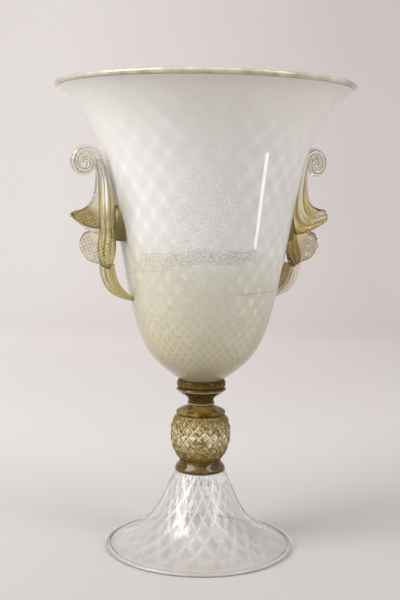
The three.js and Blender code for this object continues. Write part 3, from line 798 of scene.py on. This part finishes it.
def milk_glass():
    nodes = Nodes("milk_glass")
    across, away, height = nodes.position()
    sideways = across * PICTURE_ACROSS[0] + away * PICTURE_ACROSS[1]
    left = nodes.math("MINIMUM", sideways, 0)
    diagonals = nodes.diagonals(0.7)
    lattice = nodes.math("MINIMUM", *diagonals)

    # Opal blots where the optic lines cross above, a finer pale net between olive spots below
    fine = nodes.math("MINIMUM", *nodes.diagonals(1.3, (10 / 7, 1.7)))
    middle_strip = abs(sideways - 0.008)
    patches = nodes.noise(14, 4).ramp(0.4, 0.58, 0.2, 1) * middle_strip.ramp(0.02, 0.05, 0.35, 1)
    patches = patches * height.ramp(0.535, 0.58, 1, 0.15)
    crossing = nodes.math("MULTIPLY", *(d.fall(0, 0.42) for d in diagonals))
    blots = crossing.ramp(0.05, 0.75, smooth=True) * patches
    cell = lattice.ramp(0.1, 0.42) * patches
    smears = nodes.noise(42, 3).ramp(0.42, 0.66, 0, 0.7)
    upper = nodes.blend(smears, (0.735, 0.734, 0.708), (0.8, 0.8, 0.776))
    upper = upper.paint(cell * 0.65, (0.668, 0.672, 0.648))
    upper = upper.paint(blots * 0.45, (0.9, 0.903, 0.882))
    lines = fine.fall(0, 0.2) * nodes.noise(30, 2).ramp(0.38, 0.58, 0.18, 0.55)
    hearts = fine.ramp(0.22, 0.44, 0, 0.5) * nodes.noise(55, 2).ramp(0.4, 0.58, 0.3, 1)
    ground = nodes.blend(smears, (0.575, 0.512, 0.335), (0.65, 0.592, 0.415))
    ground = ground.paint(hearts, (0.45, 0.392, 0.24))
    lower = ground.paint(lines, (0.745, 0.7, 0.545))
    middle = nodes.blend(smears, (0.62, 0.588, 0.478), (0.675, 0.648, 0.54))
    middle = middle.paint(hearts * 0.9, (0.52, 0.49, 0.38))
    middle = middle.paint(blots * 0.8, (0.79, 0.77, 0.675))
    tone_level = height + left * 0.4
    body = middle.paint(tone_level.ramp(0.345, 0.395), upper)
    body = body.paint(tone_level.fall(0.262, 0.33), lower)
    body = body.paint(height.ramp(0.222, 0.262, 0.7, 0), (0.33, 0.265, 0.13))

    # Shade from the left handle and where the wall turns away, light in the flare, the darker lip
    shadowed = sideways.ramp(-0.11, -0.06, 0.8, 0) * height.fall(0.325, 0.365)
    body = body.paint(shadowed, (0.4, 0.37, 0.285))
    # Painted shadow of the left handle on the bowl beside it
    handle_shadow = sideways.ramp(-0.1, -0.08, 0.75, 0) * height.ramp(0.32, 0.35)
    body = body.paint(handle_shadow * height.fall(0.44, 0.49), (0.37, 0.35, 0.3))
    # Painted shade where the lower wall turns away
    turning_shade = nodes.grazing(0.5).ramp(0.45, 0.85, 0, 0.7) * height.fall(0.3, 0.35)
    body = body.paint(turning_shade, (0.33, 0.29, 0.18))
    # Painted light on the flare, at its sides and rising towards the lip
    flare_light = abs(sideways).ramp(0.1, 0.15, 0, 0.5) * height.ramp(0.44, 0.5)
    body = body.paint(flare_light, (0.96, 0.96, 0.92))
    body = body.paint(height.ramp(0.47, 0.575, 0, 0.52), (0.93, 0.93, 0.87))
    body = body.paint(height.ramp(0.578, 0.594, 0, 0.3), (0.64, 0.62, 0.5))

    # A belt of gold leaf broken into flecks, which droops to the left, and its drawn edges
    level = height - left * 0.145
    frayed = level + nodes.noise(28, 3).ramp(0.3, 0.7, -0.004, 0.004)
    top = frayed + abs(sideways) * 0.05
    belt = frayed.ramp(0.3765, 0.3785) * top.fall(0.3955, 0.399)
    belt = belt * sideways.fall(0.062, 0.08) * away.ramp(0, 0.06, 1, 0.6)
    worn = nodes.noise(34, 3).ramp(0.38, 0.58, 0.65, 1)
    flecks = nodes.noise(620, 1, 1.7).ramp(0.53, 0.59)
    body = body.paint(belt * 0.35, (0.72, 0.705, 0.6))
    body = body.paint(belt * worn * flecks * 0.75, (0.24, 0.205, 0.095))
    low_edge, high_edge = (abs(edge - line).ramp(0.0003, 0.0011, 0.35, 0)
                           for edge, line in zip((level, top), BELT_LEVELS))
    low_edge = low_edge * sideways.fall(-0.05, -0.02)
    high_edge = high_edge * abs(sideways + 0.042).fall(0.03, 0.04)
    body = body.paint(nodes.math("MAXIMUM", low_edge, high_edge), (0.4, 0.375, 0.27))
    rising = height - sideways * 0.047
    thread = abs(rising - HAIR_LINE_LEVEL).ramp(0.0002, 0.001, 0.6, 0)
    thread = thread * sideways.ramp(0.04, 0.052) * away.fall(-0.02, -0.01)
    body = body.paint(thread, (0.33, 0.3, 0.22))
    pebbles = nodes.cells(440).fall(0.1, 0.5) * middle_strip.ramp(0.025, 0.06, 0.6, 0.18)
    pebbles = pebbles * height.ramp(0.44, 0.54, 1.3, 0.4)
    body = body.paint(pebbles, (0.5, 0.5, 0.46))
    relief = lattice * 0.5 + nodes.cells(520) * 0.16
    return nodes.glass(body, relief, 0.14, 0.0012, Roughness=0.35, Coat_Weight=1, Coat_Roughness=0.03,
                       Subsurface_Weight=0.25, Subsurface_Scale=0.008, IOR=1.45, Specular_IOR_Level=0.3)


def mist_glass():
    nodes = Nodes("mist_glass")
    lattice = nodes.optic()
    height = nodes.position()[2]
    net = lattice.ramp(0.04, 0.27, 1, 0, smooth=True)
    heart = lattice.ramp(0.28, 0.46, smooth=True)
    trumpet = height.ramp(0.008, 0.045, 0.3, 1)
    shown = trumpet * nodes.grazing(0.5).ramp(0.3, 0.8, 1, 0.35)
    cloud = nodes.noise(70).ramp(0.3, 0.75, 0.02, 0.08)
    mist = net * 0.22 * shown + cloud
    nodes.set(Transmission_Weight=nodes.math("SUBTRACT", 0.985, mist, clamp=True))
    clear = nodes.blend(trumpet, (0.98, 0.958, 0.935), (0.985, 0.978, 0.98))
    body = clear.paint(heart * shown, (0.85, 0.85, 0.86))
    nodes.set(Base_Color=body, Roughness=0.03, IOR=1.07, Coat_Weight=0.85, Coat_Roughness=0.07,
              Coat_IOR=1.5)
    dimples = lattice.ramp(0, 0.5, smooth=True) * trumpet
    for socket, strength in (("Normal", 0.2), ("Coat Normal", 1)):
        nodes.bump(dimples, strength, 0.0008, socket)
    return nodes.material


def rim_glass():
    nodes = Nodes("rim_glass")
    across, away, _ = nodes.position()
    radius = nodes.math("SQRT", across * across + away * away)
    cloud = nodes.noise(50).ramp(0.35, 0.65)
    core = nodes.blend(cloud, (0.95, 0.93, 0.91), (0.99, 0.98, 0.97))
    body = core.paint(nodes.grazing(0.35).ramp(0.6, 0.95, 0, 0.7), (0.68, 0.55, 0.44))
    body = body.paint(radius.ramp(0.1173, 0.1185, 0.9, 0), (0.52, 0.31, 0.16))
    return nodes.glass(body, nodes.noise(120, 2), 0.1, 0.0005, Roughness=0.05, IOR=1.05,
                       Transmission_Weight=0.72, Coat_Weight=1, Coat_Roughness=0.03)


def amber_glass(name, coat, glints, dark=(0.055, 0.028, 0.001), pale=(0.165, 0.1, 0.012), upright=False,
                shine_heights=(), glint_scale=150):
    """Dark blown glass with bands drawn round it, painted glints of the light behind it, painted shade towards
    its edges and painted highlight lines at any given heights.
    """
    nodes = Nodes(name)
    drift = nodes.noise(60, 2, squash=0.2) if upright else nodes.noise(5, 3, squash=60)
    bands = drift.ramp(0.36, 0.64)
    colour = nodes.blend(bands, dark, pale)
    # Painted glints of the light through the glass
    drawn = nodes.noise(glint_scale, 2, squash=0.45).ramp(0.5, 0.64, 0, glints)
    colour = colour.paint(drawn, (0.44, 0.3, 0.07))
    # Painted shade towards the edges, the facing middle left lighter
    edge = nodes.grazing(0.5).ramp(0.4, 0.95, 0, 0.75)
    colour = colour.paint(edge, (0.05, 0.028, 0.004))
    # Painted highlight lines round the ring at the given heights
    for shine_height in shine_heights:
        off_line = abs(nodes.position()[2] - shine_height)
        colour = colour.paint(off_line.ramp(0.0003, 0.0009, 0.8, 0), (0.8, 0.7, 0.56))
    return nodes.glass(colour, nodes.noise(160, 2), 0.1, 0.0006, Roughness=0.18, IOR=1.2,
                       Specular_IOR_Level=0.1, Transmission_Weight=0.25, Coat_Weight=coat, Coat_Roughness=0.02)


def gold_glass():
    nodes = Nodes("gold_glass")
    height = nodes.position()[2]
    lattice = nodes.optic()
    patches = nodes.noise(95, 2).ramp(0.4, 0.6)
    # Painted highlights along the lattice's lines and at the diamonds' hearts, with painted shade just inside
    # the lines
    lights = nodes.noise(120, 2).ramp(0.44, 0.58, 0.05, 1)
    line = lattice.fall(0.04, 0.09) * lights
    shade = lattice.ramp(0.06, 0.11, 0, 0.75) * lattice.fall(0.14, 0.26)
    heart = lattice.ramp(0.3, 0.42) * nodes.noise(100, 1).ramp(0.4, 0.58, 0.3, 1)
    cell = nodes.blend(patches, (0.3, 0.2, 0.03), (0.96, 0.85, 0.5))
    body = cell.paint(shade, (0.11, 0.062, 0.005))
    body = body.paint(heart, (0.98, 0.93, 0.7))
    body = body.paint(line, (0.98, 0.9, 0.6))
    flecks = nodes.noise(230, 1).ramp(0.34, 0.42, 0.8, 0)
    body = body.paint(flecks, (0.16, 0.095, 0.008))
    # Painted sparkle of light glints
    painted_sparkle = nodes.noise(280, 1).ramp(0.57, 0.64, 0, 0.9)
    body = body.paint(painted_sparkle, (1, 0.945, 0.66))
    # Painted shade at the knop's bottom, under the shoulder and towards its sides
    body = body.paint(height.ramp(0.118, 0.148, 0.95, 0), (0.26, 0.155, 0.008))
    body = body.paint(height.ramp(0.152, 0.172, 0, 0.85), (0.2, 0.128, 0.014))
    edge = nodes.grazing(0.5).ramp(0.28, 0.72, 0, 0.9)
    body = body.paint(edge, (0.19, 0.115, 0.01))
    return nodes.glass(body, nodes.noise(220, 2), 0.1, 0.0005, Roughness=0.1, IOR=1.3,
                       Specular_IOR_Level=0.12, Transmission_Weight=0.25, Coat_Weight=0.3, Coat_Roughness=0.03)


def thread_glass():
    nodes = Nodes("thread_glass")
    cloud = nodes.noise(40, 3).ramp(0.35, 0.65)
    core = nodes.blend(cloud, (0.57, 0.5, 0.35), (0.85, 0.82, 0.7))
    edge = nodes.grazing(0.4).ramp(0.4, 0.95, 0, 0.8)
    return nodes.glass(core.paint(edge, (0.3, 0.235, 0.125)), nodes.noise(150, 2), 0.1, 0.0005,
                       Roughness=0.07, IOR=1.4, Transmission_Weight=0.35, Coat_Weight=1, Coat_Roughness=0.02)


def strap_glass(name, stops, waffle=(2, 3, 0), frill=None, beads=False, inner=None, streaky=1,
                shine=None, hairs=(1, 0.6), coat=1, clear_root=None, milky=0.92):
    """Ribbed clear glass over gold leaf. The stops give the tone at shares along the strap."""
    nodes = Nodes(name)
    along, behind = nodes.surface("optic")
    share, station = nodes.surface("run")
    out, _, up = nodes.position()
    ridge = abs(station)
    ramp = nodes.add("ShaderNodeValToRGB", {0: share})
    elements = ramp.color_ramp.elements
    while len(elements) < len(stops):
        elements.new(0.5)
    for element, (place, tone) in zip(elements, stops):
        element.position = place
        element.color = (*tone, 1)
    tone = Value(nodes, ramp.outputs[0])
    if inner:
        inner_tone, inner_start = inner
        inside = station.ramp(-0.15, 0.05) * share.ramp(inner_start - 0.06, inner_start)
        tone = tone.paint(inside, inner_tone)
    if clear_root:
        root = station.ramp(-0.2, 0.2) * share.ramp(*clear_root, 1, 0)
        tone = tone.paint(root, CLEAR)

    # The leaf, its streaks and lines lie in the strap's near face, so they show only once
    near = behind.fall(-0.05, 0.05)

    def mark(strength, tone, colour):
        return tone.paint(strength * near, colour)

    # Streaks along the strap: dark ones, and pale ones that are painted highlights on the ribs
    stretch = nodes.value(0, "ShaderNodeCombineXYZ", {0: station * 7, 1: along * 0.035})
    streaks = nodes.value("Fac", "ShaderNodeTexNoise", {"Vector": stretch, "Scale": 1, "Detail": 3})
    pale = streaks.ramp(0.52, 0.62, 0, 0.9 * streaky)
    deep = streaks.ramp(0.37, 0.47, 0.8 * streaky, 0)
    tone = mark(deep, tone, (0.3, 0.2, 0.04))
    tone = mark(pale, tone, (1, 0.97, 0.82))
    groove = abs(ridge - 0.33)
    hair = groove.fall(0.04, 0.12) * share.ramp(0.42, 0.55, *hairs)
    hair = hair * share.ramp(waffle[0], waffle[1], 1, 0.1)
    tone = mark(hair, tone, (0.17, 0.105, 0.03))
    outline = ridge.ramp(0.86, 0.97, 0, 0.35 if beads else 0.7)
    if frill:
        outline = outline * station.ramp(-0.2, 0.2, 1, 0.25)
    tone = tone.paint(outline, (0.22, 0.14, 0.04))

    # The pincered waffle
    low, high, strength = waffle
    threads = [out * a + up * b for a, b in ((0.92, 0.38), (-0.38, 0.92))]
    weave = nodes.math("MAXIMUM", *(thread.fold(HALF_THREAD).fall(0.0002, 0.0011) for thread in threads))
    weave = weave * nodes.noise(170, 2).ramp(0.36, 0.56, 0.3, 1)
    field = share.ramp(low, high, 0, strength)
    tone = mark(weave * field, tone, (0.1, 0.06, 0.015))
    if frill:
        # The leaf's amber ends in a dark line, and a clear frill runs round it
        start_station, start_share = frill
        outside = nodes.math("MAXIMUM", station.ramp(start_station - 0.5, start_station + 0.5, -0.5, 0.5),
                             share.ramp(start_share - 0.08, start_share + 0.08, -0.5, 0.5))
        leafy = share.ramp(low + 0.04, low + 0.08)
        clear = outside.ramp(0.02, 0.1) * leafy
        frilled = nodes.blend(weave * 0.3, (0.95, 0.92, 0.86), (0.45, 0.36, 0.2))
        tone = tone.paint(clear, frilled)
        drawn = abs(outside).fall(0.06, 0.13)
        tone = mark(drawn * leafy, tone, (0.08, 0.05, 0.01))
    if beads:
        leafy = share.ramp(low - 0.02, low + 0.04)
        beaded = up * 0.82 + out * 0.45
        rim_band = nodes.math("MAXIMUM", ridge.ramp(0.76, 0.82), share.ramp(0.935, 0.95))
        bead = rim_band * beaded.fold(HALF_THREAD).fall(0.0008, 0.0013) * leafy
    if shine:
        # A painted highlight down the upper strap: a pale streak, where the glass is also made milkier
        streak_station, streak_end, streak_strength = shine
        off_streak = abs(station - streak_station)
        highlight_streak = off_streak.ramp(0.13, 0.38, streak_strength, 0)
        highlight_streak = highlight_streak * share.fall(streak_end - 0.15, streak_end)
        tone = mark(highlight_streak, tone, (1, 0.99, 0.95))
        milky = milky - highlight_streak * near * 0.8
    # A painted dark outline where the surface turns away, in place of the glass's refraction of darker
    # surroundings
    edge = nodes.grazing(0.4).ramp(0.6, 1, 0, 0.85)
    tone = tone.paint(edge, (0.26, 0.18, 0.07))
    if beads:
        tone = mark(bead, tone, (0.03, 0.018, 0.006))
    return nodes.glass(tone, weave * field + nodes.noise(180, 2), 0.15, 0.0004, Roughness=0.04,
                       IOR=1.17, Coat_Weight=coat, Coat_Roughness=0.03, Coat_IOR=1.5,
                       Transmission_Weight=milky)


# Studio

def make_studio():
    depth, width, back, curve_radius, top = 3, 5, 2.2, 1.2, 4.5
    profile = [(-depth, 0), (back, 0)]
    for step in range(1, 25):
        angle = pi / 2 * step / 24
        profile.append((back + curve_radius * sin(angle), curve_radius * (1 - cos(angle))))
    profile.append((back + curve_radius, top))
    vertices = [(across, away, height) for away, height in profile for across in (-width, width)]
    faces = [(2 * i, 2 * i + 1, 2 * i + 3, 2 * i + 2) for i in range(len(profile) - 1)]
    mesh = bpy.data.meshes.new("backdrop")
    mesh.from_pydata(vertices, [], faces)
    mesh.shade_smooth()
    backdrop = add_object("backdrop", mesh)
    backdrop.rotation_euler.z = -CAMERA_AZIMUTH
    nodes = Nodes("studio_paper")
    across, away, _ = nodes.position()
    paper = nodes.blend(nodes.noise(3).ramp(0.3, 0.7), (0.57, 0.54, 0.527), (0.585, 0.555, 0.542))
    paper = paper.paint(away.fall(-0.4, 0.5), (0.42, 0.402, 0.392))
    # Painted light: the paper glows for the camera, in reflections and through the glass, brighter on the left
    # and towards the back
    glow = nodes.blend(across.ramp(-0.65, 0.65), (0.37, 0.345, 0.328), (0.215, 0.187, 0.178))
    ray = nodes.add("ShaderNodeLightPath").outputs
    seen = nodes.math("ADD", ray["Is Camera Ray"], ray["Is Glossy Ray"])
    seen = nodes.math("ADD", seen, ray["Is Transmission Ray"], clamp=True)
    nodes.set(Base_Color=paper, Roughness=0.9, Specular_IOR_Level=0.1, Emission_Color=glow,
              Emission_Strength=seen * away.ramp(-0.4, 1.8, 0.12, 1))
    mesh.materials.append(nodes.material)


def lamp(name, width, height, power, azimuth, elevation, distance, target=(0, 0, 0.35)):
    light = bpy.data.lights.new(name, "AREA")
    light.shape = "RECTANGLE"
    light.size = width
    light.size_y = height
    light.energy = power
    holder = add_object(name, light)
    angle = radians(azimuth) + CAMERA_AZIMUTH
    rise = radians(elevation)
    away = Vector((-sin(angle) * cos(rise), -cos(angle) * cos(rise), sin(rise))) * distance
    holder.location = Vector(target) + away
    holder.rotation_euler = (-away).to_track_quat("-Z", "Y").to_euler()


def make_lights():
    world = bpy.data.worlds.new("studio")
    world.use_nodes = True
    background = world.node_tree.nodes["Background"].inputs
    background["Color"].default_value = (1, 0.99, 0.98, 1)
    background["Strength"].default_value = 0.52
    bpy.context.scene.world = world
    lamp("left_softbox", 1.2, 1.6, 44, 62, 36, 2.1)
    lamp("right_softbox", 0.6, 1.6, 14, -58, 34, 2)
    lamp("right_strip", 0.072, 0.155, 0.25, -71, 0, 0.89, (0, 0, 0.204))
    lamp("top_softbox", 1.6, 1.6, 10, 10, 75, 2.4)


def make_camera():
    data = bpy.data.cameras.new("camera")
    data.sensor_width = SENSOR
    data.lens = FOCAL_PIXELS / IMAGE_HEIGHT * SENSOR
    data.shift_x = -PRINCIPAL_SHIFT / IMAGE_HEIGHT
    camera = add_object("camera", data)
    turn = Matrix.Rotation(-CAMERA_AZIMUTH, 4, "Z")
    tilt = Matrix.Rotation(pi / 2 - CAMERA_PITCH, 4, "X")
    roll = Matrix.Rotation(CAMERA_ROLL, 4, "Z")
    place = Matrix.Translation((-CAMERA_DISTANCE * sin(CAMERA_AZIMUTH),
                                -CAMERA_DISTANCE * cos(CAMERA_AZIMUTH), CAMERA_HEIGHT))
    camera.matrix_world = place @ turn @ tilt @ roll
    bpy.context.scene.camera = camera


def dress(piece, node, material):
    piece.data.materials.append(material)
    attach(piece, "root")
    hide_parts(node)


make_camera()
make_studio()
make_lights()
bpy.context.scene.view_settings.view_transform = "Standard"

# Tones of the handles' glass over its gold leaf
CLEAR = (0.94, 0.91, 0.86)
CREAM = (0.94, 0.9, 0.73)
HONEY = (0.91, 0.85, 0.62)
GOLD = (0.82, 0.75, 0.38)
OLIVE = (0.7, 0.62, 0.24)
AMBER = (0.62, 0.5, 0.18)
ROSE = (0.71, 0.61, 0.45)
PALE = (0.88, 0.83, 0.75)
STRAW = (0.94, 0.87, 0.48)
BROWN = (0.54, 0.42, 0.15)
DUSK = (0.66, 0.57, 0.38)

STRAPS = {
    "left_scroll": dict(
        stops=[(0, CREAM), (0.5, CREAM), (0.6, CLEAR), (0.71, CREAM), (0.75, HONEY), (0.79, BROWN),
               (1, BROWN)],
        waffle=(0.76, 0.8, 0.9), frill=(0.42, 0.93), streaky=0.4, hairs=(1, 0.1), clear_root=(0.76, 0.82)),
    "left_husk": dict(
        stops=[(0, HONEY), (0.3, CREAM), (1, CREAM)],
        waffle=(0.36, 0.46, 0.6), streaky=0.15, hairs=(0, 0), coat=0.7),
    "left_tail": dict(
        stops=[(0, HONEY), (0.25, GOLD), (0.6, OLIVE), (0.85, AMBER), (1, BROWN)],
        waffle=(0, 0.1, 0.4), inner=((0.64, 0.52, 0.22), 0), hairs=(0.5, 0.5)),
    "left_column": dict(
        stops=[(0, CLEAR), (0.22, CLEAR), (0.4, STRAW), (0.9, STRAW), (1, GOLD)],
        waffle=(0.62, 0.72, 0.5), streaky=0.5, shine=(-0.35, 0.52, 1), hairs=(0.15, 0.15), milky=0.7),
    "right_scroll": dict(
        stops=[(0, PALE), (0.56, PALE), (0.66, DUSK), (0.74, OLIVE), (0.9, DUSK), (1, DUSK)],
        waffle=(0.76, 0.84, 0.75), beads=True, inner=((0.66, 0.54, 0.22), 0.62), streaky=0.9,
        shine=(-0.05, 0.84, 0.6), hairs=(1, 0.9), coat=0.6),
    "right_husk": dict(
        stops=[(0, OLIVE), (0.2, GOLD), (0.3, ROSE), (1, ROSE)],
        waffle=(0.3, 0.38, 0.55), beads=True, streaky=0.15, hairs=(0, 0), coat=0.5),
    "right_tail": dict(
        stops=[(0, PALE), (0.7, PALE), (0.85, AMBER), (1, BROWN)],
        waffle=(0.1, 0.2, 0.4), inner=((0.34, 0.23, 0.09), 0), streaky=0.6, hairs=(0.3, 0.3)),
    "right_column": dict(
        stops=[(0, HONEY), (0.25, GOLD), (0.5, OLIVE), (0.75, AMBER), (1, BROWN)], hairs=(0.5, 0.5)),
}

# The columns' outer and inner edges from the grip, and their widths on the way
LEFT_COLUMN = (
    [(30.4, 90), (30.6, 80), (29, 68), (28.5, 55), (28.6, 40), (28.4, 25), (27.8, 14),
     (27.5, -2.6), (29.4, -14), (30, -25), (27, -38), (20.5, -46.2)],
    [(23.6, 90), (19.6, 80), (14.6, 68), (11.2, 56.5), (8.8, 43.5), (8, 30.6), (8.4, 14),
     (7.2, -2.6), (6.8, -14), (7.2, -25), (9, -38), (13.8, -46.4)],
    [1.5, 8, 13, 16.5, 18, 19, 19.4, 19.8, 20, 19.6, 17, 7])
RIGHT_COLUMN = (
    [(12.6, 40), (14, 27), (14.7, 15.4), (17.6, 4), (21.4, -9), (24.6, -20), (27.6, -31),
     (27, -40)],
    [(9.6, 40), (8.4, 28), (7.6, 16), (6.6, 4), (6.4, -9), (6.8, -20), (9, -33),
     (17, -44.5)],
    [1.5, 10, 17, 19, 19.6, 19.6, 18, 7])

amber = amber_glass("amber_glass", 0.3, 0.15)
# Amber with painted highlight lines round the disc and the waist ring
bright_amber = amber_glass("bright_amber_glass", 0.75, 0.2, shine_heights=(
    (DISC_BASE + DISC_HEIGHT * 0.3) * MM, (WAIST_BASE + WAIST_HEIGHT * 0.45) * MM))
shoulder_amber = amber_glass("shoulder_amber_glass", 0.4, 0.45, (0.075, 0.04, 0.003),
                             (0.33, 0.225, 0.045), True, glint_scale=200)
olive_amber = amber_glass("olive_amber_glass", 0.5, 0, (0.095, 0.07, 0.016), (0.33, 0.265, 0.11), True)

dress(make_bowl(), "bowl", milk_glass())
dress(make_lip_thread(), "lip_thread", thread_glass())
dress(make_foot(), "foot", mist_glass())
dress(make_foot_rim(), "foot_rim", rim_glass())
dress(make_knop(), "knop", gold_glass())
collar_glass = {"bowl_collar": amber, "stem_neck": amber, "knop_shoulder": shoulder_amber}
for node, *ring in COLLARS:
    dress(make_collar(node, *ring), node, collar_glass.get(node, bright_amber))
for side, turn, lift, squeeze, swells, leaf_width, spread, column in (
        ("left", pi, 0, 1, LEFT_LEAF_SWELLS, LEFT_LEAF_WIDTH, 0, LEFT_COLUMN),
        ("right", 0, RIGHT_LIFT, RIGHT_SQUEEZE, RIGHT_LEAF_SWELLS, RIGHT_LEAF_WIDTH, RIGHT_TAIL_SPREAD,
         RIGHT_COLUMN)):
    for piece, form, node in (
            (make_scroll(side, turn, lift, squeeze, swells, leaf_width), "_scroll", "_scroll"),
            (make_husk(side, turn, LOWER_LEAF_WIDTH), "_husk", "_husk"),
            (make_tail(side, turn, spread), "_tail", "_tail"),
            (make_column(side, turn, *column), "_column", "_husk")):
        glass = strap_glass(side + form + "_glass", **STRAPS[side + form])
        dress(piece, side + node, glass)
    dress(make_bridge(side, turn), side + "_bridge", olive_amber)
